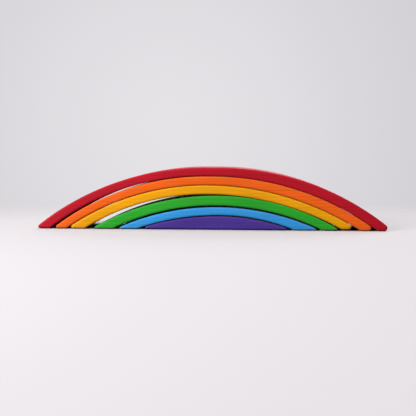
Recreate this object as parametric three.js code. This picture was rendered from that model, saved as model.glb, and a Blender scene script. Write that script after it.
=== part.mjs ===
// Rainbow bridge block: five nested wooden arches over a solid core, all sawn from one block.
// Lengths are in millimetres. X runs along the bridge, Y from front to back, and Z up from the
// surface that it stands on. Each arch is a loose piece that lifts straight off the piece below.
import * as THREE from "three";

// Sizes that every piece shares.
const BRIDGE_DEPTH = 70; // front face to back face
const EDGE_ROUND = 1; // sanded rounding along the front and back outlines
const HEEL_EXTRA = 0.5; // rounding of every arch's heels beyond the edge rounding
const STAIN_ROUGHNESS = 0.62;

// The core is a low hump with a flat base.
const CORE_LENGTH = 192.9; // along the surface, between the sharp ends of its outline
const CORE_HEIGHT = 16.3;
const CORE_CROWN_SHIFT = 4.4; // how far right of the middle the saw line is highest
const CORE_LEFT_TOE_EXTRA = 0.8; // rounding of the sharp end beyond the edge rounding
const CORE_RIGHT_TOE_EXTRA = 0.4;
const CORE_COLOUR = 0x4c3689;

// The arches, from the innermost outwards, as they rest.
// CROWN_GAP, LEFT_GAP and RIGHT_GAP are the open spaces over the piece below, at the crown and
// along the surface at each foot. CROWN_THICK, LEFT_FOOT and RIGHT_FOOT are the wood at the same
// three places, to the sharp corners of the outline. The saw line over an arch is highest
// CROWN_DRIFT right of the line under it, and that line CROWN_SLIP right of the one on the piece
// below. CROWN_FLAT is a straight stretch at the top of the outer saw line. LEFT_TOE_EXTRA and
// RIGHT_TOE_EXTRA are the rounding of the toes beyond the edge rounding, and RIDE_UP is the height
// at which the right foot is held off the surface where an arch has slid left and leans on the arch
// inside it.

// Blue arch.
const BLUE_CROWN_GAP = 1.6;
const BLUE_LEFT_GAP = 1.3;
const BLUE_RIGHT_GAP = 2.8;
const BLUE_CROWN_SLIP = 2.2;
const BLUE_CROWN_THICK = 9.6;
const BLUE_LEFT_FOOT = 25;
const BLUE_RIGHT_FOOT = 30.6;
const BLUE_CROWN_DRIFT = -4.4;
const BLUE_LEFT_TOE_EXTRA = 0.2;
const BLUE_RIGHT_TOE_EXTRA = 0.1;
const BLUE_COLOUR = 0x3891d4;

// Green arch.
const GREEN_CROWN_GAP = 2.4;
const GREEN_LEFT_GAP = 4.5;
const GREEN_RIGHT_GAP = 3.8;
const GREEN_CROWN_THICK = 12;
const GREEN_LEFT_FOOT = 26.4;
const GREEN_RIGHT_FOOT = 22.2;
const GREEN_CROWN_DRIFT = 1;
const GREEN_LEFT_TOE_EXTRA = 0.4;
const GREEN_RIGHT_TOE_EXTRA = 0.6;
const GREEN_COLOUR = 0x2f9b2f;

// Yellow arch.
const YELLOW_CROWN_GAP = 1.9;
const YELLOW_LEFT_GAP = 8.8;
const YELLOW_RIGHT_GAP = 3.8;
const YELLOW_CROWN_SLIP = -12;
const YELLOW_CROWN_THICK = 10.9;
const YELLOW_LEFT_FOOT = 21.6;
const YELLOW_RIGHT_FOOT = 19.6;
const YELLOW_CROWN_DRIFT = -0.6;
const YELLOW_LEFT_TOE_EXTRA = 1.2;
const YELLOW_RIGHT_TOE_EXTRA = 2.1;
const YELLOW_RIDE_UP = 1.8;
const YELLOW_COLOUR = 0xe59b12;

// Orange arch.
const ORANGE_CROWN_GAP = 0.4;
const ORANGE_LEFT_GAP = 1.2;
const ORANGE_RIGHT_GAP = 0.8;
const ORANGE_CROWN_THICK = 10.6;
const ORANGE_LEFT_FOOT = 16.9;
const ORANGE_RIGHT_FOOT = 20;
const ORANGE_CROWN_DRIFT = 3;
const ORANGE_CROWN_FLAT = 8;
const ORANGE_LEFT_TOE_EXTRA = 1.1;
const ORANGE_RIGHT_TOE_EXTRA = 2.3;
const ORANGE_COLOUR = 0xed651e;

// Red arch.
const RED_CROWN_GAP = 0.6;
const RED_LEFT_GAP = 4;
const RED_RIGHT_GAP = 1;
const RED_CROWN_SLIP = -1.6;
const RED_CROWN_THICK = 10.3;
const RED_LEFT_FOOT = 18.8;
const RED_RIGHT_FOOT = 18.8;
const RED_CROWN_DRIFT = 6.4;
const RED_CROWN_FLAT = 20;
const RED_LEFT_TOE_EXTRA = 1.4;
const RED_RIGHT_TOE_EXTRA = 2.9;
const RED_COLOUR = 0xb61b2c;

// Counts of straight facets on the round stretches.
const ARC_FACETS = 20; // each half of a saw line
const CORNER_FACETS = 4; // each rounded foot corner
const ROUND_FACETS = 3; // the edge rounding

const POINT_MERGE = 1e-4; // outline points closer than this are one point
const STRAIGHT_UP = Math.PI / 2;
const STRAIGHT_DOWN = -Math.PI / 2;

// The arches in the order in which they nest.
const ARCHES = [
  {
    name: "blue_arch",
    crownGap: BLUE_CROWN_GAP,
    leftGap: BLUE_LEFT_GAP,
    rightGap: BLUE_RIGHT_GAP,
    crownSlip: BLUE_CROWN_SLIP,
    crownThick: BLUE_CROWN_THICK,
    leftFoot: BLUE_LEFT_FOOT,
    rightFoot: BLUE_RIGHT_FOOT,
    crownDrift: BLUE_CROWN_DRIFT,
    leftToeExtra: BLUE_LEFT_TOE_EXTRA,
    rightToeExtra: BLUE_RIGHT_TOE_EXTRA,
    colour: BLUE_COLOUR,
  },
  {
    name: "green_arch",
    crownGap: GREEN_CROWN_GAP,
    leftGap: GREEN_LEFT_GAP,
    rightGap: GREEN_RIGHT_GAP,
    crownThick: GREEN_CROWN_THICK,
    leftFoot: GREEN_LEFT_FOOT,
    rightFoot: GREEN_RIGHT_FOOT,
    crownDrift: GREEN_CROWN_DRIFT,
    leftToeExtra: GREEN_LEFT_TOE_EXTRA,
    rightToeExtra: GREEN_RIGHT_TOE_EXTRA,
    colour: GREEN_COLOUR,
  },
  {
    name: "yellow_arch",
    crownGap: YELLOW_CROWN_GAP,
    leftGap: YELLOW_LEFT_GAP,
    rightGap: YELLOW_RIGHT_GAP,
    crownSlip: YELLOW_CROWN_SLIP,
    crownThick: YELLOW_CROWN_THICK,
    leftFoot: YELLOW_LEFT_FOOT,
    rightFoot: YELLOW_RIGHT_FOOT,
    crownDrift: YELLOW_CROWN_DRIFT,
    leftToeExtra: YELLOW_LEFT_TOE_EXTRA,
    rightToeExtra: YELLOW_RIGHT_TOE_EXTRA,
    rideUp: YELLOW_RIDE_UP,
    colour: YELLOW_COLOUR,
  },
  {
    name: "orange_arch",
    crownGap: ORANGE_CROWN_GAP,
    leftGap: ORANGE_LEFT_GAP,
    rightGap: ORANGE_RIGHT_GAP,
    crownThick: ORANGE_CROWN_THICK,
    leftFoot: ORANGE_LEFT_FOOT,
    rightFoot: ORANGE_RIGHT_FOOT,
    crownDrift: ORANGE_CROWN_DRIFT,
    crownFlat: ORANGE_CROWN_FLAT,
    leftToeExtra: ORANGE_LEFT_TOE_EXTRA,
    rightToeExtra: ORANGE_RIGHT_TOE_EXTRA,
    colour: ORANGE_COLOUR,
  },
  {
    name: "red_arch",
    crownGap: RED_CROWN_GAP,
    leftGap: RED_LEFT_GAP,
    rightGap: RED_RIGHT_GAP,
    crownSlip: RED_CROWN_SLIP,
    crownThick: RED_CROWN_THICK,
    leftFoot: RED_LEFT_FOOT,
    rightFoot: RED_RIGHT_FOOT,
    crownDrift: RED_CROWN_DRIFT,
    crownFlat: RED_CROWN_FLAT,
    leftToeExtra: RED_LEFT_TOE_EXTRA,
    rightToeExtra: RED_RIGHT_TOE_EXTRA,
    colour: RED_COLOUR,
  },
];

/** The saw line over an arch or a core: where it meets the surface at each end, and its crown. */
function sawLine(left, right, crownX, crown, flat) {
  return { left, right, crownX, crown, flat };
}

/** One half of a saw line: an arc level at the crown that comes down to the surface at one end. */
function halfArc(line, side) {
  const startX = line.crownX + (side * line.flat) / 2;
  const endX = side > 0 ? line.right : line.left;
  const reach = Math.abs(endX - startX);
  const radius = (line.crown ** 2 + reach ** 2) / (2 * line.crown);
  return { centre: new THREE.Vector2(startX, line.crown - radius), radius, side };
}

/** Both halves of a saw line, turned back by the lean of the piece so that its soles are level. */
function uprightArcs(line, pivot, lean) {
  const arcs = { left: halfArc(line, -1), right: halfArc(line, 1), top: STRAIGHT_UP - lean };
  arcs.left.centre.rotateAround(pivot, -lean);
  arcs.right.centre.rotateAround(pivot, -lean);
  return arcs;
}

/** Points along an arc of a circle. */
function arcPoints(centre, radius, from, to, clockwise, facets) {
  const curve = new THREE.EllipseCurve(centre.x, centre.y, radius, radius, from, to, clockwise);
  return curve.getPoints(facets);
}

/** The centre of a rounded foot corner: it touches the surface and, within reach, the saw arc. */
function cornerCentre(arc, reach, round) {
  const drop = round - arc.centre.y;
  return new THREE.Vector2(arc.centre.x + arc.side * Math.sqrt(reach ** 2 - drop ** 2), round);
}

/** The direction from one point to another, as an angle. */
function bearing(from, to) {
  return Math.atan2(to.y - from.y, to.x - from.x);
}

/** The top outline of a piece, from its right toe on the surface over the crown to its left toe. */
function overTheTop(arcs, leftToeExtra, rightToeExtra) {
  const leftRound = EDGE_ROUND + leftToeExtra;
  const rightRound = EDGE_ROUND + rightToeExtra;
  const rightToe = cornerCentre(arcs.right, arcs.right.radius - rightRound, rightRound);
  const leftToe = cornerCentre(arcs.left, arcs.left.radius - leftRound, leftRound);
  const rightEnd = bearing(arcs.right.centre, rightToe);
  const leftEnd = bearing(arcs.left.centre, leftToe);
  return [
    ...arcPoints(rightToe, rightRound, STRAIGHT_DOWN, rightEnd, false, CORNER_FACETS),
    ...arcPoints(arcs.right.centre, arcs.right.radius, rightEnd, arcs.top, false, ARC_FACETS),
    ...arcPoints(arcs.left.centre, arcs.left.radius, arcs.top, leftEnd, false, ARC_FACETS),
    ...arcPoints(leftToe, leftRound, leftEnd, STRAIGHT_DOWN, false, CORNER_FACETS),
  ];
}

/** The outline of the space under an arch, from its left heel on the surface to its right heel. */
function underTheArch(arcs) {
  const round = EDGE_ROUND + HEEL_EXTRA;
  const leftHeel = cornerCentre(arcs.left, arcs.left.radius + round, round);
  const rightHeel = cornerCentre(arcs.right, arcs.right.radius + round, round);
  const leftStart = bearing(leftHeel, arcs.left.centre);
  const rightStart = bearing(rightHeel, arcs.right.centre);
  const leftEnd = bearing(arcs.left.centre, leftHeel);
  const rightEnd = bearing(arcs.right.centre, rightHeel);
  return [
    ...arcPoints(leftHeel, round, STRAIGHT_DOWN, leftStart, false, CORNER_FACETS),
    ...arcPoints(arcs.left.centre, arcs.left.radius, leftEnd, arcs.top, true, ARC_FACETS),
    ...arcPoints(arcs.right.centre, arcs.right.radius, arcs.top, rightEnd, true, ARC_FACETS),
    ...arcPoints(rightHeel, round, rightStart, STRAIGHT_DOWN, false, CORNER_FACETS),
  ];
}

/** The outline as a shape, without the points that repeat where two stretches join. */
function outlineShape(points) {
  const isNew = (point, index) => point.distanceTo(points.at(index - 1)) > POINT_MERGE;
  return new THREE.Shape(points.filter(isNew));
}

/** A piece of the full depth with its front and back outlines rounded over, upright on the surface. */
function sawnPiece(name, colour, shape) {
  const straightDepth = BRIDGE_DEPTH - 2 * EDGE_ROUND;
  const geometry = new THREE.ExtrudeGeometry(shape, {
    depth: straightDepth,
    bevelThickness: EDGE_ROUND,
    bevelSize: EDGE_ROUND,
    bevelOffset: -EDGE_ROUND,
    bevelSegments: ROUND_FACETS,
  });
  geometry.translate(0, 0, -straightDepth / 2);
  const material = new THREE.MeshStandardMaterial({
    color: colour,
    roughness: STAIN_ROUGHNESS,
    metalness: 0,
  });
  const piece = new THREE.Mesh(geometry, material);
  piece.name = name;
  piece.rotation.x = Math.PI / 2;
  return piece;
}

/** The core under its saw line. */
function buildCore(line) {
  const level = new THREE.Vector2(line.left, 0);
  const arcs = uprightArcs(line, level, 0);
  const shape = outlineShape(overTheTop(arcs, CORE_LEFT_TOE_EXTRA, CORE_RIGHT_TOE_EXTRA));
  return sawnPiece("purple_core", CORE_COLOUR, shape);
}

/** An arch between its two saw lines, leaning on its left foot where its right foot rides up. */
function buildArch({ name, colour, leftToeExtra, rightToeExtra, rideUp = 0 }, inner, outer) {
  const pivot = new THREE.Vector2(outer.left, 0);
  const lean = Math.atan2(rideUp, outer.right - outer.left);
  const shape = outlineShape([
    ...overTheTop(uprightArcs(outer, pivot, lean), leftToeExtra, rightToeExtra),
    ...underTheArch(uprightArcs(inner, pivot, lean)),
  ]);
  const piece = sawnPiece(name, colour, shape);
  piece.position.x = -pivot.x;
  const stance = new THREE.Group();
  stance.position.x = pivot.x;
  stance.rotation.y = -lean;
  stance.add(piece);
  return stance;
}

/** The whole bridge, worked outwards from the core, with the middle of the outer arch at X 0. */
function buildBridge() {
  const bridge = new THREE.Group();
  const coreEnd = CORE_LENGTH / 2;
  let under = sawLine(-coreEnd, coreEnd, CORE_CROWN_SHIFT, CORE_HEIGHT, 0);
  bridge.add(buildCore(under));
  for (const arch of ARCHES) {
    const inner = sawLine(
      under.left - arch.leftGap,
      under.right + arch.rightGap,
      under.crownX + (arch.crownSlip ?? 0),
      under.crown + arch.crownGap,
      under.flat,
    );
    const outer = sawLine(
      inner.left - arch.leftFoot,
      inner.right + arch.rightFoot,
      inner.crownX + arch.crownDrift,
      inner.crown + arch.crownThick,
      arch.crownFlat ?? 0,
    );
    bridge.add(buildArch(arch, inner, outer));
    under = outer;
  }
  bridge.position.x = -(under.left + under.right) / 2;
  return bridge;
}

export default buildBridge();
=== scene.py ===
"""Looks of the rainbow bridge block: five nested wooden arches over a solid core.

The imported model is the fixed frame. Each of its six solids is replaced by a finely rounded piece with the
same outline, modelled with edit-mode tools and dressed in stained lime wood. Lengths are in metres. X runs
along the bridge, Y from front to back, and Z up from the surface that it stands on.
"""

from __future__ import annotations

import logging
import math
from collections.abc import Callable
from dataclasses import dataclass, field
from enum import Enum

import bmesh
import bpy
from mathutils import Matrix, Vector

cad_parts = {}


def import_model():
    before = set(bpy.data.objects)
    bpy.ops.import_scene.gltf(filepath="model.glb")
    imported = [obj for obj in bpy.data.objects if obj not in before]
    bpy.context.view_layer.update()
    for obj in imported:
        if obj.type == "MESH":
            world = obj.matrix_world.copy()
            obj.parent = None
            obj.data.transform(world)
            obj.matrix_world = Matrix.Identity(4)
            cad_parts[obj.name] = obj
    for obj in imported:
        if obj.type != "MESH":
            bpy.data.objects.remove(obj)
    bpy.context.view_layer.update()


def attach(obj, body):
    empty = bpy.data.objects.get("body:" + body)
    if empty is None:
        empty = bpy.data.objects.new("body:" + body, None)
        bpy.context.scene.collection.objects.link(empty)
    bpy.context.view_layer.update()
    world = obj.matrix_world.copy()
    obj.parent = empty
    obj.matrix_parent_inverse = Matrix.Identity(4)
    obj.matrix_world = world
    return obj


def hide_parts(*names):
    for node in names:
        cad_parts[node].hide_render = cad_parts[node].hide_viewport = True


log = logging.getLogger("rainbow_bridge")

MM = 0.001
PHOTO_PIXELS = 416  # width and height of the photograph

# Sizes that every piece shares.
BRIDGE_DEPTH = 70 * MM
FRONT = -BRIDGE_DEPTH / 2
EDGE_ROUND = 1 * MM  # sanded rounding along the front and back outlines
HEEL_EXTRA = 0.5 * MM  # rounding of every arch's heels beyond the edge rounding

# Fineness of the modelling.
ARC_STEPS = 100  # each half of a saw line
CORNER_STEPS = 14  # each rounded foot corner
ROUND_SEGMENTS = 6  # the edge rounding
DEPTH_CUTS = 7  # rings across the curved faces
FACE_CROWN = 0.13 * MM  # how far the curved faces swell at the middle of the depth
SOFT_EDGE_SAMPLES = 8
NOISE_MIDDLE = 0.5
PEN_TIP = 1 * MM
MERGE_DISTANCE = 0.02 * MM
PLACE_TOLERANCE = 0.01 * MM
STANDING = -0.95  # points whose normal is lower than this lie on a sole

STRAIGHT_UP = math.pi / 2
STRAIGHT_DOWN = -math.pi / 2
FULL_TURN = 2 * math.pi

Colour = tuple[float, float, float]
Band = tuple[float, float]
Feed = bpy.types.NodeSocket | float | tuple


class Side(Enum):
    """The two ends of the bridge, as signs along X."""

    LEFT = -1
    RIGHT = 1


class WoodEffect(Enum):
    """The shader node groups that every stain shares."""

    GRAIN = "lime_grain"
    FACES = "worked_faces"
    SAW = "saw_marks"
    SOAK = "stain_soak"


def bearing(start: Vector, end: Vector) -> float:
    """Gives the direction from one X and Z point to another, as an angle from +X."""
    return math.atan2(end.y - start.y, end.x - start.x)


@dataclass(frozen=True)
class SawArc:
    """Half of a saw line: an arc that is level at the crown and comes down to the surface."""

    centre: Vector
    radius: float
    side: Side

    def corner_centre(self, reach: float, rounding: float) -> Vector:
        """Finds the centre of a rounded foot corner beside this arc.

        Args:
            reach: Distance from the arc's centre to the corner's centre.
            rounding: Radius of the corner.

        Returns:
            The corner's centre, one radius above the surface, as X and Z.
        """
        drop = rounding - self.centre.y
        across = math.sqrt(reach**2 - drop**2)
        return Vector((self.centre.x + self.side.value * across, rounding))

    def turned(self, pivot: Vector, angle: float) -> SawArc:
        """Gives the same arc turned about a point.

        Args:
            pivot: The point, as X and Z.
            angle: The turn, counter-clockwise as seen from the front.

        Returns:
            The turned arc.
        """
        centre = pivot + Matrix.Rotation(angle, 2) @ (self.centre - pivot)
        return SawArc(centre, self.radius, self.side)


@dataclass(frozen=True)
class SawLine:
    """One cut of the saw: where it meets the surface at each end, and its crown."""

    left: float
    right: float
    crown_x: float
    crown: float
    flat: float = 0.0

    def arc(self, side: Side) -> SawArc:
        """Gives one half of the line.

        Args:
            side: Which end the half comes down to.

        Returns:
            The arc from the crown's straight stretch to that end.
        """
        start = self.crown_x + side.value * self.flat / 2
        end = self.right if side is Side.RIGHT else self.left
        reach = abs(end - start)
        radius = (self.crown**2 + reach**2) / (2 * self.crown)
        return SawArc(Vector((start, self.crown - radius)), radius, side)

    def leaning_back(self, pivot: Vector, lean: float) -> SawCut:
        """Gives both halves as they lie in the piece before it leans.

        Args:
            pivot: The point that the piece leans about, as X and Z.
            lean: The lean, counter-clockwise as seen from the front.

        Returns:
            The two arcs and the angle at which they meet the crown.
        """
        left = self.arc(Side.LEFT).turned(pivot, -lean)
        right = self.arc(Side.RIGHT).turned(pivot, -lean)
        return SawCut(left, right, STRAIGHT_UP - lean)


@dataclass(frozen=True)
class SawCut:
    """Both halves of a saw line in the piece's own stance, and the angle of their crown."""

    left: SawArc
    right: SawArc
    top: float

    def crown_start(self, side: Side) -> Vector:
        """Gives the point where one half leaves the crown.

        Args:
            side: Which half.

        Returns:
            The point, as X and Z.
        """
        arc = self.right if side is Side.RIGHT else self.left
        return arc.centre + arc.radius * Vector((math.cos(self.top), math.sin(self.top)))


class OutlinePen:
    """Draws an outline on the front plane with edit-mode operators."""

    def __init__(self, start: Vector) -> None:
        """Puts a single vertex at the start of the outline.

        Args:
            start: The first point, as X and Z.
        """
        bpy.ops.object.select_all(action="DESELECT")
        bpy.ops.mesh.primitive_plane_add(size=PEN_TIP, enter_editmode=True)
        bpy.ops.mesh.select_mode(type="VERT")
        bpy.ops.mesh.merge(type="CENTER")
        bpy.ops.transform.translate(value=(start.x, FRONT, start.y))
        self.start = start
        self.point = start

    def arc(self, centre: Vector, sweep: float, steps: int) -> None:
        """Draws an arc from the pen's place.

        Args:
            centre: Centre of the arc, as X and Z.
            sweep: Angle of the arc, counter-clockwise as seen from the front.
            steps: Number of straight steps along it.
        """
        middle = (centre.x, FRONT, centre.y)
        bpy.ops.mesh.spin(steps=steps, angle=sweep, center=middle, axis=(0, 1, 0))
        self.point = centre + Matrix.Rotation(sweep, 2) @ (self.point - centre)

    def line(self, end: Vector) -> None:
        """Draws a straight line from the pen's place.

        Args:
            end: Where the line ends, as X and Z.
        """
        step = end - self.point
        if step.length < MERGE_DISTANCE:
            return
        bpy.ops.mesh.extrude_region_move(TRANSFORM_OT_translate={"value": (step.x, 0, step.y)})
        self.point = end

    def close(self) -> bpy.types.Object:
        """Closes the outline with a straight line and fills it.

        Returns:
            The object, still in edit mode, with one face all over the outline.
        """
        self.line(self.start)
        bpy.ops.mesh.select_all(action="SELECT")
        bpy.ops.mesh.remove_doubles(threshold=MERGE_DISTANCE)
        bpy.ops.mesh.edge_face_add()
        return bpy.context.edit_object


def select_edges(piece: bpy.types.Object, wanted: Callable[[bmesh.types.BMEdge], bool]) -> None:
    """Selects the edges of a piece in edit mode by a test of their place.

    Args:
        piece: The object in edit mode.
        wanted: The test.
    """
    bpy.ops.mesh.select_mode(type="EDGE")
    bpy.ops.mesh.select_all(action="DESELECT")
    mesh = bmesh.from_edit_mesh(piece.data)
    for edge in mesh.edges:
        edge.select_set(wanted(edge))
    mesh.select_flush_mode()
    bmesh.update_edit_mesh(piece.data)


def on_outline(edge: bmesh.types.BMEdge) -> bool:
    """Tells whether an edge lies on the front or the back outline."""
    middle = (edge.verts[0].co.y + edge.verts[1].co.y) / 2
    return abs(abs(middle) - BRIDGE_DEPTH / 2) < PLACE_TOLERANCE


def on_curved_middle(edge: bmesh.types.BMEdge) -> bool:
    """Tells whether an edge follows a curved face near the middle of the depth."""
    near = max(abs(end.co.y) for end in edge.verts) < BRIDGE_DEPTH / 4
    return near and all(end.normal.z > STANDING for end in edge.verts)


def along_depth(edge: bmesh.types.BMEdge) -> bool:
    """Tells whether an edge runs from front to back."""
    span = edge.verts[0].co - edge.verts[1].co
    return abs(span.y) > BRIDGE_DEPTH / 2


class NodeBench:
    """Adds nodes to one shader tree and wires them."""

    def __init__(self, tree: bpy.types.NodeTree) -> None:
        """Keeps the tree that the nodes go into."""
        self.tree = tree

    def add(self, kind: str, **settings: object) -> bpy.types.Node:
        """Adds a node.

        Args:
            kind: The node's type name.
            settings: Properties of the node to set.

        Returns:
            The new node.
        """
        node = self.tree.nodes.new(kind)
        for name, value in settings.items():
            setattr(node, name, value)
        return node

    def feed(self, socket: bpy.types.NodeSocket, source: Feed) -> None:
        """Links a socket to a source, or sets it to a plain value.

        Args:
            socket: The input socket.
            source: An output socket, a number or a tuple of numbers.
        """
        if isinstance(source, bpy.types.NodeSocket):
            self.tree.links.new(source, socket)
        else:
            socket.default_value = source

    def maths(self, operation: str, first: Feed, second: Feed = 0.0) -> bpy.types.NodeSocket:
        """Adds a sum.

        Args:
            operation: The sum's name.
            first: Its first term.
            second: Its second term, where it has one.

        Returns:
            The result.
        """
        node = self.add("ShaderNodeMath", operation=operation)
        self.feed(node.inputs[0], first)
        self.feed(node.inputs[1], second)
        return node.outputs[0]

    def vector(self, operation: str, first: Feed, second: Feed = (0.0, 0.0, 0.0)) -> bpy.types.NodeSocket:
        """Adds a vector sum with a vector result.

        Args:
            operation: The sum's name.
            first: Its first vector.
            second: Its second vector.

        Returns:
            The resulting vector.
        """
        node = self.add("ShaderNodeVectorMath", operation=operation)
        self.feed(node.inputs[0], first)
        self.feed(node.inputs[1], second)
        return node.outputs["Vector"]

    def distance(self, first: Feed, second: Feed) -> bpy.types.NodeSocket:
        """Gives the distance between two points.

        Args:
            first: The first point.
            second: The second point.

        Returns:
            The distance.
        """
        node = self.add("ShaderNodeVectorMath", operation="DISTANCE")
        self.feed(node.inputs[0], first)
        self.feed(node.inputs[1], second)
        return node.outputs["Value"]

    def scaled(self, colour: Feed, factor: Feed) -> bpy.types.NodeSocket:
        """Brightens or darkens a colour.

        Args:
            colour: The colour.
            factor: What it is multiplied by.

        Returns:
            The scaled colour.
        """
        node = self.add("ShaderNodeVectorMath", operation="SCALE")
        self.feed(node.inputs[0], colour)
        self.feed(node.inputs["Scale"], factor)
        return node.outputs["Vector"]

    def ramp(
        self, value: Feed, start: Feed, end: Feed, low: Feed = 0.0, high: Feed = 1.0
    ) -> bpy.types.NodeSocket:
        """Adds a smooth step.

        Args:
            value: What is stepped.
            start: Where the step begins.
            end: Where it ends.
            low: Its level before it begins.
            high: Its level after it ends.

        Returns:
            The stepped value.
        """
        node = self.add("ShaderNodeMapRange", interpolation_type="SMOOTHSTEP")
        for name, source in (("Value", value), ("From Min", start), ("From Max", end)):
            self.feed(node.inputs[name], source)
        self.feed(node.inputs["To Min"], low)
        self.feed(node.inputs["To Max"], high)
        return node.outputs["Result"]

    def axes(self, vector: Feed) -> bpy.types.bpy_prop_collection:
        """Splits a vector.

        Args:
            vector: The vector.

        Returns:
            Its X, Y and Z, by name.
        """
        node = self.add("ShaderNodeSeparateXYZ")
        self.feed(node.inputs[0], vector)
        return node.outputs

    def noise(
        self, place: Feed, feature: Colour, detail: float, roughness: float = 0.5
    ) -> bpy.types.NodeSocket:
        """Adds noise that is drawn out along the axes.

        Args:
            place: The point on the surface.
            feature: Length of a feature along X, Y and Z.
            detail: Number of finer layers.
            roughness: Strength of the finer layers.

        Returns:
            The noise, from 0 to 1.
        """
        stretched = self.vector("DIVIDE", place, feature)
        node = self.add("ShaderNodeTexNoise")
        self.feed(node.inputs["Vector"], stretched)
        self.feed(node.inputs["Scale"], 1.0)
        self.feed(node.inputs["Detail"], detail)
        self.feed(node.inputs["Roughness"], roughness)
        return node.outputs["Fac"]

    def mix(self, factor: Feed, first: Feed, second: Feed) -> bpy.types.NodeSocket:
        """Blends two colours.

        Args:
            factor: Share of the second colour.
            first: The first colour.
            second: The second colour.

        Returns:
            The blend.
        """
        node = self.add("ShaderNodeMix", data_type="RGBA")
        sockets = {socket.identifier: socket for socket in node.inputs}
        self.feed(sockets["Factor_Float"], factor)
        self.feed(sockets["A_Color"], first)
        self.feed(sockets["B_Color"], second)
        results = {socket.identifier: socket for socket in node.outputs}
        return results["Result_Color"]


class EffectGroup:
    """A shader node group with named inputs and outputs, built once and used by every stain."""

    def __init__(self, effect: WoodEffect) -> None:
        """Starts an empty group.

        Args:
            effect: Which effect the group makes.
        """
        self.tree = bpy.data.node_groups.new(effect.value, "ShaderNodeTree")
        self.bench = NodeBench(self.tree)
        self.entry = self.bench.add("NodeGroupInput")
        self.leaving = self.bench.add("NodeGroupOutput")

    def take(self, name: str, kind: str = "NodeSocketFloat") -> bpy.types.NodeSocket:
        """Adds an input.

        Args:
            name: The input's name.
            kind: Its socket type.

        Returns:
            The socket that brings it into the group.
        """
        self.tree.interface.new_socket(name, in_out="INPUT", socket_type=kind)
        return self.entry.outputs[name]

    def give(self, name: str, source: bpy.types.NodeSocket, kind: str = "NodeSocketFloat") -> None:
        """Adds an output.

        Args:
            name: The output's name.
            source: What it puts out.
            kind: Its socket type.
        """
        self.tree.interface.new_socket(name, in_out="OUTPUT", socket_type=kind)
        self.tree.links.new(source, self.leaving.inputs[name])


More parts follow.
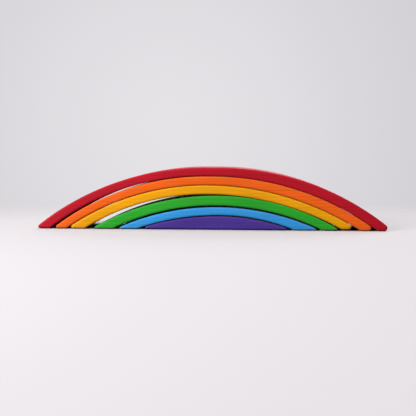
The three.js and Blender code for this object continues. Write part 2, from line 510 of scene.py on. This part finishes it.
@dataclass(frozen=True)
class LimeWood:
    """The wood under the stains: its grain runs along the bridge, through all six pieces as one block."""

    streak: Colour = (95 * MM, 2.4 * MM, 2.4 * MM)
    fibre: Colour = (12 * MM, 0.4 * MM, 0.4 * MM)
    blotch: Colour = (55 * MM, 20 * MM, 20 * MM)
    wander: Colour = (160 * MM, 30 * MM, 30 * MM)
    pith: Colour = (0.0, 35 * MM, -90 * MM)
    ring_width: float = 3.4 * MM
    ring_wander: float = 7 * MM
    saw_pitch: float = 3.2 * MM
    saw_wander: Colour = (9 * MM, 14 * MM, 9 * MM)
    sole_shade_height: float = 1.3 * MM  # height up to which the soles' edges get painted shade
    streak_layers: float = 3.0  # finer layers in the streaks
    streak_roughness: float = 0.6
    fine_layers: float = 2.0  # finer layers in the other patterns of the grain
    saw_layers: float = 1.0
    ring_band: Band = (-0.4, 1.0)  # of the ring wave, from early to late wood
    painted_shade_band: Band = (-0.8, -0.4)  # of the normal's Z, from full painted shade on undersides to none on sides
    edge_band: Band = (0.08, 0.5)  # of the normal's Y, from curved face to edge
    face_band: Band = (0.75, 0.99)  # of the normal's Y, from edge to flat face
    end_band: Band = (0.2, 0.85)  # of the normal's X, from long grain to end grain
    sawn_band: Band = (0.02, 0.2)  # of the normal's Y, from sawn face to edge
    streak_weight: float = 1.4
    ring_weight: float = 0.35
    fibre_weight: float = 0.5
    middle_weight: float = 1.1  # weighted sum at which the stain shows as it is mixed
    rub_band: Band = (0.3, 0.65)  # of the fibres, from spared to rubbed
    rub_least: float = 0.4
    matt: float = 0.5
    streak_matt: float = 0.16
    edge_matt: float = -0.06

    def build_groups(self) -> dict[WoodEffect, bpy.types.NodeTree]:
        """Builds the shared node groups.

        Returns:
            The group of each effect.
        """
        return {
            WoodEffect.GRAIN: self.grain_group(),
            WoodEffect.FACES: self.faces_group(),
            WoodEffect.SAW: self.saw_group(),
            WoodEffect.SOAK: self.soak_group(),
        }

    def grain_group(self) -> bpy.types.NodeTree:
        """Builds the grain: streaks, growth rings, fine fibres and blotches.

        Returns:
            The group.
        """
        group = EffectGroup(WoodEffect.GRAIN)
        bench = group.bench
        place = group.take("Place", "NodeSocketVector")
        group.give("Streaks", bench.noise(place, self.streak, self.streak_layers, self.streak_roughness))
        group.give("Fibres", bench.noise(place, self.fibre, self.fine_layers))
        group.give("Blotches", bench.noise(place, self.blotch, self.fine_layers))
        across = bench.vector("MULTIPLY", place, (0.0, 1.0, 1.0))
        radius = bench.distance(across, self.pith)
        drift = bench.noise(place, self.wander, self.fine_layers)
        wander = bench.maths("MULTIPLY", drift, self.ring_wander)
        turns = bench.maths("DIVIDE", bench.maths("ADD", radius, wander), self.ring_width)
        wave = bench.maths("SINE", bench.maths("MULTIPLY", turns, FULL_TURN))
        group.give("Rings", bench.ramp(wave, *self.ring_band))
        return group.tree

    def faces_group(self) -> bpy.types.NodeTree:
        """Builds the masks of the worked faces: rounded edges, end grain, sawn faces, and the undersides
        and soles' edges that get painted shade.

        Returns:
            The group.
        """
        group = EffectGroup(WoodEffect.FACES)
        bench = group.bench
        normal = group.take("Normal", "NodeSocketVector")
        # Painted shade: downward-facing faces and the soles' edges are marked to be darkened.
        below = bench.ramp(bench.axes(normal)["Z"], *self.painted_shade_band, 1.0, 0.0)
        height = bench.axes(group.take("Place", "NodeSocketVector"))["Z"]
        sole = bench.ramp(height, self.sole_shade_height / 2, self.sole_shade_height, 1.0, 0.0)
        group.give("Painted Underside Shade", bench.maths("MAXIMUM", below, sole))
        turned = bench.axes(bench.vector("ABSOLUTE", normal))
        rising = bench.ramp(turned["Y"], *self.edge_band)
        falling = bench.ramp(turned["Y"], *self.face_band, 1.0, 0.0)
        group.give("Edges", bench.maths("MULTIPLY", rising, falling))
        group.give("End Grain", bench.ramp(turned["X"], *self.end_band))
        group.give("Sawn", bench.ramp(turned["Y"], *self.sawn_band, 1.0, 0.0))
        return group.tree

    def saw_group(self) -> bpy.types.NodeTree:
        """Builds the shallow ridges that the saw leaves across the curved faces.

        Returns:
            The group.
        """
        group = EffectGroup(WoodEffect.SAW)
        bench = group.bench
        place = group.take("Place", "NodeSocketVector")
        sawn = group.take("Sawn")
        wander = bench.noise(place, self.saw_wander, self.saw_layers)
        drift = bench.maths("MULTIPLY", wander, self.saw_pitch)
        along = bench.maths("ADD", bench.axes(place)["X"], drift)
        turns = bench.maths("DIVIDE", along, self.saw_pitch)
        wave = bench.maths("SINE", bench.maths("MULTIPLY", turns, FULL_TURN))
        group.give("Ridges", bench.maths("MULTIPLY", bench.ramp(wave, -1.0, 1.0), sawn))
        return group.tree

    def soak_group(self) -> bpy.types.NodeTree:
        """Builds the stain as the wood takes it: deeper in end grain, thinner on edges, and darkened below
        by painted shade.

        Returns:
            The group.
        """
        group = EffectGroup(WoodEffect.SOAK)
        bench = group.bench
        stain = group.take("Stain", "NodeSocketColor")
        worn = group.take("Worn Stain", "NodeSocketColor")
        names = ("Grain Depth", "Blotch Depth", "Edge Wear", "End Depth", "Painted Shade Depth")
        grain, blotch, wear, end, under = (group.take(name) for name in names)
        masks = ("Streaks", "Rings", "Fibres", "Blotches", "Edges", "End Grain", "Painted Underside Shade")
        streaks, rings, fibres, blotches, edges, ends, undersides = (group.take(name) for name in masks)
        lines = bench.maths("MULTIPLY", streaks, self.streak_weight)
        lines = bench.maths("ADD", lines, bench.maths("MULTIPLY", rings, self.ring_weight))
        lines = bench.maths("ADD", lines, bench.maths("MULTIPLY", fibres, self.fibre_weight))
        figure = bench.maths("MULTIPLY", bench.maths("SUBTRACT", lines, self.middle_weight), grain)
        patches = bench.maths("MULTIPLY", bench.maths("SUBTRACT", blotches, NOISE_MIDDLE), blotch)
        shade = bench.maths("ADD", bench.maths("ADD", figure, patches), 1.0)
        soaked = bench.maths("SUBTRACT", 1.0, bench.maths("MULTIPLY", ends, end))
        colour = bench.scaled(stain, bench.maths("MULTIPLY", shade, soaked))
        rubbed = bench.ramp(fibres, *self.rub_band, self.rub_least, 1.0)
        rub = bench.maths("MULTIPLY", bench.maths("MULTIPLY", edges, wear), rubbed)
        sanded = bench.mix(rub, colour, worn)
        # Painted shade: the colour is darkened on undersides and the soles' edges.
        below = bench.maths("SUBTRACT", 1.0, bench.maths("MULTIPLY", undersides, under))
        group.give("Colour", bench.scaled(sanded, below), "NodeSocketColor")
        matt = bench.maths("ADD", bench.maths("MULTIPLY", streaks, self.streak_matt), self.matt)
        worn_matt = bench.maths("MULTIPLY", edges, self.edge_matt)
        group.give("Roughness", bench.maths("ADD", matt, worn_matt))
        return group.tree


@dataclass(frozen=True)
class Stain:
    """One water stain on the lime wood."""

    name: str
    colour: Colour
    worn: Colour
    grain_depth: float = 0.26
    blotch_depth: float = 0.28
    edge_wear: float = 0.3
    end_depth: float = 0.12
    # how much painted shade darkens the undersides and the soles' edges
    painted_shade_depth: float = 0.85
    specular: float = 0.12
    sheen: float = 0.08
    sheen_roughness: float = 0.35
    soft_edge: float = 4.5 * MM  # how far the sanding softens the faces beside the edges
    ridge_height: float = 0.3  # of the saw marks, against the fibres
    bump_strength: float = 0.25
    bump_distance: float = 0.12 * MM

    def material(self, groups: dict[WoodEffect, bpy.types.NodeTree]) -> bpy.types.Material:
        """Builds the stain's material.

        Args:
            groups: The wood's shared node groups.

        Returns:
            The material.
        """
        material = bpy.data.materials.new(self.name)
        material.use_nodes = True
        bench = NodeBench(material.node_tree)
        shader = material.node_tree.nodes["Principled BSDF"]
        shader.inputs["Specular IOR Level"].default_value = self.specular
        shader.inputs["Sheen Weight"].default_value = self.sheen
        shader.inputs["Sheen Roughness"].default_value = self.sheen_roughness
        source = bench.add("ShaderNodeTexCoord")
        placed = {}
        for effect, tree in groups.items():
            placed[effect] = bench.add("ShaderNodeGroup", node_tree=tree)
        grain, faces, saw, soak = (placed[effect] for effect in WoodEffect)
        bench.feed(grain.inputs["Place"], source.outputs["Object"])
        rounded = bench.add("ShaderNodeBevel", samples=SOFT_EDGE_SAMPLES)
        rounded.inputs["Radius"].default_value = self.soft_edge
        bench.feed(faces.inputs["Normal"], rounded.outputs["Normal"])
        bench.feed(faces.inputs["Place"], source.outputs["Object"])
        bench.feed(saw.inputs["Place"], source.outputs["Object"])
        bench.feed(saw.inputs["Sawn"], faces.outputs["Sawn"])
        worked = [faces.outputs[name] for name in ("Edges", "End Grain", "Painted Underside Shade")]
        for mask in (*grain.outputs, *worked):
            bench.feed(soak.inputs[mask.name], mask)
        bench.feed(soak.inputs["Stain"], (*self.colour, 1.0))
        bench.feed(soak.inputs["Worn Stain"], (*self.worn, 1.0))
        bench.feed(soak.inputs["Grain Depth"], self.grain_depth)
        bench.feed(soak.inputs["Blotch Depth"], self.blotch_depth)
        bench.feed(soak.inputs["Edge Wear"], self.edge_wear)
        bench.feed(soak.inputs["End Depth"], self.end_depth)
        bench.feed(soak.inputs["Painted Shade Depth"], self.painted_shade_depth)
        bench.feed(shader.inputs["Base Color"], soak.outputs["Colour"])
        bench.feed(shader.inputs["Roughness"], soak.outputs["Roughness"])
        bump = bench.add("ShaderNodeBump")
        bump.inputs["Strength"].default_value = self.bump_strength
        bump.inputs["Distance"].default_value = self.bump_distance
        ridges = bench.maths("MULTIPLY", saw.outputs["Ridges"], self.ridge_height)
        bench.feed(bump.inputs["Height"], bench.maths("ADD", grain.outputs["Fibres"], ridges))
        bench.feed(bump.inputs["Normal"], rounded.outputs["Normal"])
        bench.feed(shader.inputs["Normal"], bump.outputs["Normal"])
        return material


PURPLE = Stain("purple_stain", (0.070, 0.034, 0.280), (0.10, 0.05, 0.34))
BLUE = Stain("blue_stain", (0.036, 0.308, 0.717), (0.08, 0.40, 0.80))
GREEN = Stain("green_stain", (0.025, 0.374, 0.025), (0.05, 0.46, 0.05))
# The warm stains get lighter painted shade on their undersides.
YELLOW = Stain("yellow_stain", (0.840, 0.355, 0.002), (0.88, 0.43, 0.02), painted_shade_depth=0.6)
ORANGE = Stain("orange_stain", (0.872, 0.126, 0.008), (0.90, 0.19, 0.02), painted_shade_depth=0.6)
RED = Stain("red_stain", (0.480, 0.006, 0.019), (0.57, 0.02, 0.045), painted_shade_depth=0.6)


@dataclass
class SawnPiece:
    """A loose piece sawn from the block, standing on the surface."""

    node: str
    body: str
    stain: Stain
    left_toe: float
    right_toe: float

    def draw(self) -> bpy.types.Object:
        """Draws the outline.

        Returns:
            The filled outline, in edit mode.
        """
        raise NotImplementedError

    def build(self) -> bpy.types.Object:
        """Models the piece.

        Returns:
            The finished object.
        """
        piece = self.draw()
        bpy.ops.mesh.extrude_region_move(TRANSFORM_OT_translate={"value": (0, BRIDGE_DEPTH, 0)})
        bpy.ops.mesh.select_all(action="SELECT")
        bpy.ops.mesh.normals_make_consistent(inside=False)
        select_edges(piece, on_outline)
        bpy.ops.mesh.bevel(
            offset=EDGE_ROUND, segments=ROUND_SEGMENTS, affect="EDGES", clamp_overlap=False
        )
        select_edges(piece, along_depth)
        bpy.ops.mesh.subdivide(number_cuts=DEPTH_CUTS)
        select_edges(piece, on_curved_middle)
        bpy.ops.transform.shrink_fatten(value=FACE_CROWN)
        bpy.ops.object.mode_set(mode="OBJECT")
        piece.name = f"{self.node}_wood"
        piece.data.name = piece.name
        bpy.ops.object.shade_smooth()
        bpy.ops.object.modifier_add(type="WEIGHTED_NORMAL")
        bpy.ops.object.modifier_apply(modifier=piece.modifiers[0].name)
        return piece

    def dress(self, piece: bpy.types.Object, material: bpy.types.Material) -> None:
        """Stains the piece and puts it in the frame in place of its solid.

        Args:
            piece: The finished object.
            material: The stain's material.
        """
        piece.data.materials.clear()
        piece.data.materials.append(material)
        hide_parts(self.node)
        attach(piece, self.body)


@dataclass
class Core(SawnPiece):
    """The low solid hump in the middle."""

    line: SawLine

    def draw(self) -> bpy.types.Object:
        """Draws the hump's outline.

        Returns:
            The filled outline, in edit mode.
        """
        cut = self.line.leaning_back(Vector((self.line.left, 0)), 0.0)
        pen = start_over_the_top(cut, self.left_toe, self.right_toe)
        return pen.close()


@dataclass
class Arch(SawnPiece):
    """An arch between two saw lines, which may lean on its left foot."""

    inner: SawLine
    outer: SawLine
    ride_up: float = 0.0

    def draw(self) -> bpy.types.Object:
        """Draws the arch's outline in its lean.

        Returns:
            The filled outline, in edit mode.
        """
        pivot = Vector((self.outer.left, 0))
        lean = math.atan2(self.ride_up, self.outer.right - self.outer.left)
        pen = start_over_the_top(self.outer.leaning_back(pivot, lean), self.left_toe, self.right_toe)
        draw_under_the_arch(pen, self.inner.leaning_back(pivot, lean))
        piece = pen.close()
        bpy.ops.transform.rotate(value=lean, orient_axis="Y", center_override=(pivot.x, 0, pivot.y))
        return piece


def start_over_the_top(cut: SawCut, left_round: float, right_round: float) -> OutlinePen:
    """Draws the top of a piece from its right toe over the crown to its left toe.

    Args:
        cut: The saw line over the piece.
        left_round: Radius of the left toe.
        right_round: Radius of the right toe.

    Returns:
        The pen, at the left toe on the surface.
    """
    right_toe = cut.right.corner_centre(cut.right.radius - right_round, right_round)
    left_toe = cut.left.corner_centre(cut.left.radius - left_round, left_round)
    right_end = bearing(cut.right.centre, right_toe)
    left_end = bearing(cut.left.centre, left_toe)
    pen = OutlinePen(Vector((right_toe.x, 0)))
    pen.arc(right_toe, right_end - STRAIGHT_DOWN, CORNER_STEPS)
    pen.arc(cut.right.centre, cut.top - right_end, ARC_STEPS)
    pen.line(cut.crown_start(Side.LEFT))
    pen.arc(cut.left.centre, left_end - cut.top, ARC_STEPS)
    pen.arc(left_toe, FULL_TURN + STRAIGHT_DOWN - left_end, CORNER_STEPS)
    return pen


def draw_under_the_arch(pen: OutlinePen, cut: SawCut) -> None:
    """Draws the space under an arch from its left heel to its right heel.

    Args:
        pen: The pen, at the left toe.
        cut: The saw line under the arch.
    """
    rounding = EDGE_ROUND + HEEL_EXTRA
    left_heel = cut.left.corner_centre(cut.left.radius + rounding, rounding)
    right_heel = cut.right.corner_centre(cut.right.radius + rounding, rounding)
    pen.line(Vector((left_heel.x, 0)))
    pen.arc(left_heel, bearing(left_heel, cut.left.centre) - STRAIGHT_DOWN, CORNER_STEPS)
    pen.arc(cut.left.centre, cut.top - bearing(cut.left.centre, left_heel), ARC_STEPS)
    pen.line(cut.crown_start(Side.RIGHT))
    pen.arc(cut.right.centre, bearing(cut.right.centre, right_heel) - cut.top, ARC_STEPS)
    pen.arc(right_heel, STRAIGHT_DOWN - bearing(right_heel, cut.right.centre), CORNER_STEPS)


@dataclass(frozen=True)
class ArchSizes:
    """How an arch rests over the piece below, and its wood, as worked out from the photograph."""

    colour: str
    stain: Stain
    crown_gap: float
    left_gap: float
    right_gap: float
    crown_thick: float
    left_foot: float
    right_foot: float
    crown_drift: float
    left_toe_extra: float
    right_toe_extra: float
    crown_slip: float = 0.0
    crown_flat: float = 0.0
    ride_up: float = 0.0

    def inner_line(self, under: SawLine) -> SawLine:
        """Gives the saw line under the arch.

        Args:
            under: The saw line over the piece below.

        Returns:
            The line.
        """
        return SawLine(
            under.left - self.left_gap,
            under.right + self.right_gap,
            under.crown_x + self.crown_slip,
            under.crown + self.crown_gap,
            under.flat,
        )

    def outer_line(self, inner: SawLine) -> SawLine:
        """Gives the saw line over the arch.

        Args:
            inner: The saw line under it.

        Returns:
            The line.
        """
        return SawLine(
            inner.left - self.left_foot,
            inner.right + self.right_foot,
            inner.crown_x + self.crown_drift,
            inner.crown + self.crown_thick,
            self.crown_flat,
        )


BLUE_ARCH = ArchSizes(
    colour="blue",
    stain=BLUE,
    crown_gap=1.6 * MM,
    left_gap=1.3 * MM,
    right_gap=2.8 * MM,
    crown_slip=2.2 * MM,
    crown_thick=9.6 * MM,
    left_foot=25 * MM,
    right_foot=30.6 * MM,
    crown_drift=-4.4 * MM,
    left_toe_extra=0.2 * MM,
    right_toe_extra=0.1 * MM,
)
GREEN_ARCH = ArchSizes(
    colour="green",
    stain=GREEN,
    crown_gap=2.4 * MM,
    left_gap=4.5 * MM,
    right_gap=3.8 * MM,
    crown_thick=12 * MM,
    left_foot=26.4 * MM,
    right_foot=22.2 * MM,
    crown_drift=1 * MM,
    left_toe_extra=0.4 * MM,
    right_toe_extra=0.6 * MM,
)
YELLOW_ARCH = ArchSizes(
    colour="yellow",
    stain=YELLOW,
    crown_gap=1.9 * MM,
    left_gap=8.8 * MM,
    right_gap=3.8 * MM,
    crown_slip=-12 * MM,
    crown_thick=10.9 * MM,
    left_foot=21.6 * MM,
    right_foot=19.6 * MM,
    crown_drift=-0.6 * MM,
    left_toe_extra=1.2 * MM,
    right_toe_extra=2.1 * MM,
    ride_up=1.8 * MM,
)
ORANGE_ARCH = ArchSizes(
    colour="orange",
    stain=ORANGE,
    crown_gap=0.4 * MM,
    left_gap=1.2 * MM,
    right_gap=0.8 * MM,
    crown_thick=10.6 * MM,
    left_foot=16.9 * MM,
    right_foot=20 * MM,
    crown_drift=3 * MM,
    crown_flat=8 * MM,
    left_toe_extra=1.1 * MM,
    right_toe_extra=2.3 * MM,
)
RED_ARCH = ArchSizes(
    colour="red",
    stain=RED,
    crown_gap=0.6 * MM,
    left_gap=4 * MM,
    right_gap=1 * MM,
    crown_slip=-1.6 * MM,
    crown_thick=10.3 * MM,
    left_foot=18.8 * MM,
    right_foot=18.8 * MM,
    crown_drift=6.4 * MM,
    crown_flat=20 * MM,
    left_toe_extra=1.4 * MM,
    right_toe_extra=2.9 * MM,
)


@dataclass
class RainbowBridge:
    """The whole bridge, worked outwards from the core, with the middle of the outer arch at X 0."""

    core_length: float = 192.9 * MM
    core_height: float = 16.3 * MM
    core_crown_shift: float = 4.4 * MM
    core_left_toe_extra: float = 0.8 * MM
    core_right_toe_extra: float = 0.4 * MM
    arches: tuple[ArchSizes, ...] = (BLUE_ARCH, GREEN_ARCH, YELLOW_ARCH, ORANGE_ARCH, RED_ARCH)

    def core_middle(self) -> float:
        """Gives the X of the core's middle.

        Returns:
            The X at which the outer arch has its middle at 0.
        """
        left = sum(arch.left_gap + arch.left_foot for arch in self.arches)
        right = sum(arch.right_gap + arch.right_foot for arch in self.arches)
        return (left - right) / 2

    def pieces(self) -> list[SawnPiece]:
        """Lays out the pieces from the core outwards.

        Returns:
            The pieces, not yet modelled.
        """
        middle = self.core_middle()
        half = self.core_length / 2
        under = SawLine(middle - half, middle + half, middle + self.core_crown_shift, self.core_height)
        left_toe = EDGE_ROUND + self.core_left_toe_extra
        right_toe = EDGE_ROUND + self.core_right_toe_extra
        laid: list[SawnPiece] = [Core("purple_core", "core", PURPLE, left_toe, right_toe, under)]
        for sizes in self.arches:
            inner = sizes.inner_line(under)
            outer = sizes.outer_line(inner)
            arch = Arch(
                node=f"{sizes.colour}_arch",
                body=sizes.colour,
                stain=sizes.stain,
                left_toe=EDGE_ROUND + sizes.left_toe_extra,
                right_toe=EDGE_ROUND + sizes.right_toe_extra,
                inner=inner,
                outer=outer,
                ride_up=sizes.ride_up,
            )
            laid.append(arch)
            under = outer
        return laid


@dataclass(frozen=True)
class StudioFloor:
    """A pale round floor that fades into the backdrop at its rim."""

    centre: tuple[float, float] = (0.0, -1.0)
    radius: float = 2.2
    fade_start: float = 1.06
    fade_end: float = 1.5
    colour: Colour = (0.616, 0.595, 0.62)
    bounce_colour: Colour = (0.22, 0.21, 0.215)
    roughness: float = 0.9
    rim_points: int = 96
    depth_below: float = 0.45 * MM  # slit under the soles, a dark line along the base

    def build(self) -> bpy.types.Object:
        """Models and dresses the floor.

        Returns:
            The floor.
        """
        bpy.ops.object.select_all(action="DESELECT")
        place = (*self.centre, -self.depth_below)
        bpy.ops.mesh.primitive_circle_add(
            vertices=self.rim_points, radius=self.radius, fill_type="NGON", location=place
        )
        floor = bpy.context.object
        bpy.ops.object.transform_apply(location=True, rotation=True, scale=True)
        floor.name = "studio_floor"
        floor.data.materials.append(self.material())
        return floor

    def material(self) -> bpy.types.Material:
        """Builds the floor's paint: pale to the camera, darker in the light that it throws back.

        Returns:
            The material.
        """
        material = bpy.data.materials.new("pale_floor")
        material.use_nodes = True
        bench = NodeBench(material.node_tree)
        shader = material.node_tree.nodes["Principled BSDF"]
        shader.inputs["Roughness"].default_value = self.roughness
        shader.inputs["Specular IOR Level"].default_value = 0.0
        source = bench.add("ShaderNodeTexCoord")
        seen = bench.add("ShaderNodeLightPath").outputs["Is Camera Ray"]
        paint = bench.mix(seen, (*self.bounce_colour, 1.0), (*self.colour, 1.0))
        bench.feed(shader.inputs["Base Color"], paint)
        away = bench.distance(source.outputs["Object"], (*self.centre, -self.depth_below))
        fade = bench.ramp(away, self.fade_start, self.fade_end)
        clear = bench.add("ShaderNodeBsdfTransparent")
        blend = bench.add("ShaderNodeMixShader")
        bench.feed(blend.inputs[0], bench.maths("MULTIPLY", fade, seen))
        bench.feed(blend.inputs[1], shader.outputs[0])
        bench.feed(blend.inputs[2], clear.outputs[0])
        bench.feed(material.node_tree.nodes["Material Output"].inputs["Surface"], blend.outputs[0])
        return material


@dataclass(frozen=True)
class StudioLight:
    """Soft lamps at the left, above and behind, and a pale surround with a faint pool of light."""

    key_place: Vector = field(default_factory=lambda: Vector((-1.1, -0.9, 0.44)))
    key_size: float = 0.6
    key_power: float = 19.2
    top_place: Vector = field(default_factory=lambda: Vector((0.2, -0.2, 1.5)))
    top_size: float = 1.6
    top_power: float = 18.7
    back_place: Vector = field(default_factory=lambda: Vector((0.5, 1.3, 0.9)))
    back_size: float = 0.9
    back_power: float = 8.5
    lamp_aim: Vector = field(default_factory=lambda: Vector((0.0, 0.0, 0.03)))
    lamp_colour: Colour = (1.0, 0.985, 0.97)
    surround_strength: float = 0.33
    surround_colour: Colour = (0.98, 0.985, 1.0)
    backdrop_colour: Colour = (0.645, 0.627, 0.66)
    pool_colour: Colour = (0.785, 0.765, 0.795)
    pool_aim: Vector = field(default_factory=lambda: Vector((-0.09, 1.0, 0.03)))
    pool_reach: float = 0.42

    def build(self) -> None:
        """Sets up the lamps and the surround."""
        self.hang_lamp("key_light", self.key_place, self.key_size, self.key_power)
        self.hang_lamp("top_light", self.top_place, self.top_size, self.top_power)
        self.hang_lamp("back_light", self.back_place, self.back_size, self.back_power)
        self.build_surround()

    def hang_lamp(self, name: str, place: Vector, size: float, power: float) -> None:
        """Hangs a round soft lamp that faces the bridge.

        Args:
            name: The lamp's name.
            place: Where it hangs.
            size: Its diameter.
            power: Its power in watts.
        """
        lamp = bpy.data.lights.new(name, "AREA")
        lamp.shape = "DISK"
        lamp.size = size
        lamp.energy = power
        lamp.color = self.lamp_colour
        holder = bpy.data.objects.new(name, lamp)
        holder.location = place
        holder.rotation_euler = (self.lamp_aim - place).to_track_quat("-Z", "Y").to_euler()
        bpy.context.scene.collection.objects.link(holder)

    def build_surround(self) -> None:
        """Builds the world: light for the object, and the backdrop that shows past it."""
        world = bpy.data.worlds.new("studio_surround")
        world.use_nodes = True
        bpy.context.scene.world = world
        bench = NodeBench(world.node_tree)
        light = world.node_tree.nodes["Background"]
        light.inputs["Color"].default_value = (*self.surround_colour, 1.0)
        light.inputs["Strength"].default_value = self.surround_strength
        source = bench.add("ShaderNodeTexCoord")
        away = bench.distance(source.outputs["Generated"], tuple(self.pool_aim.normalized()))
        pool = bench.ramp(away, 0.0, self.pool_reach, 1.0, 0.0)
        shown = bench.add("ShaderNodeBackground")
        backdrop = bench.mix(pool, (*self.backdrop_colour, 1.0), (*self.pool_colour, 1.0))
        bench.feed(shown.inputs["Color"], backdrop)
        path = bench.add("ShaderNodeLightPath")
        seen = path.outputs["Is Camera Ray"]
        for ray in ("Is Transmission Ray", "Is Glossy Ray"):
            seen = bench.maths("MAXIMUM", seen, path.outputs[ray])
        blend = bench.add("ShaderNodeMixShader")
        bench.feed(blend.inputs[0], seen)
        bench.feed(blend.inputs[1], light.outputs[0])
        bench.feed(blend.inputs[2], shown.outputs[0])
        bench.feed(world.node_tree.nodes["World Output"].inputs["Surface"], blend.outputs[0])


@dataclass(frozen=True)
class PhotoCamera:
    """The camera, at the photograph's viewing angle."""

    place: Vector = field(default_factory=lambda: Vector((30 * MM, -965 * MM, 100 * MM)))
    aim: Vector = field(default_factory=lambda: Vector((-5.6 * MM, FRONT, 26.84 * MM)))
    roll: float = 0.0045
    focal_pixels: float = 755.0
    sensor: float = 36.0

    def build(self) -> bpy.types.Object:
        """Makes the camera the scene's own.

        Returns:
            The camera.
        """
        data = bpy.data.cameras.new("photo_camera")
        data.sensor_width = self.sensor
        data.lens = self.focal_pixels / PHOTO_PIXELS * self.sensor
        camera = bpy.data.objects.new("photo_camera", data)
        look = (self.aim - self.place).to_track_quat("-Z", "Y").to_matrix()
        camera.rotation_euler = (look @ Matrix.Rotation(self.roll, 3, "Z")).to_euler()
        camera.location = self.place
        bpy.context.scene.collection.objects.link(camera)
        bpy.context.scene.camera = camera
        return camera


def main() -> None:
    """Builds the pieces around the frame, then the studio and the camera."""
    logging.basicConfig(level=logging.INFO, format="%(name)s: %(message)s")
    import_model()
    PhotoCamera().build()
    groups = LimeWood().build_groups()
    for sawn in RainbowBridge().pieces():
        piece = sawn.build()
        sawn.dress(piece, sawn.stain.material(groups))
        log.info("%s rides on %s with %d faces", piece.name, sawn.body, len(piece.data.polygons))
    StudioFloor().build()
    StudioLight().build()
    bpy.context.scene.view_settings.view_transform = "Standard"


if __name__ == "__main__":
    main()
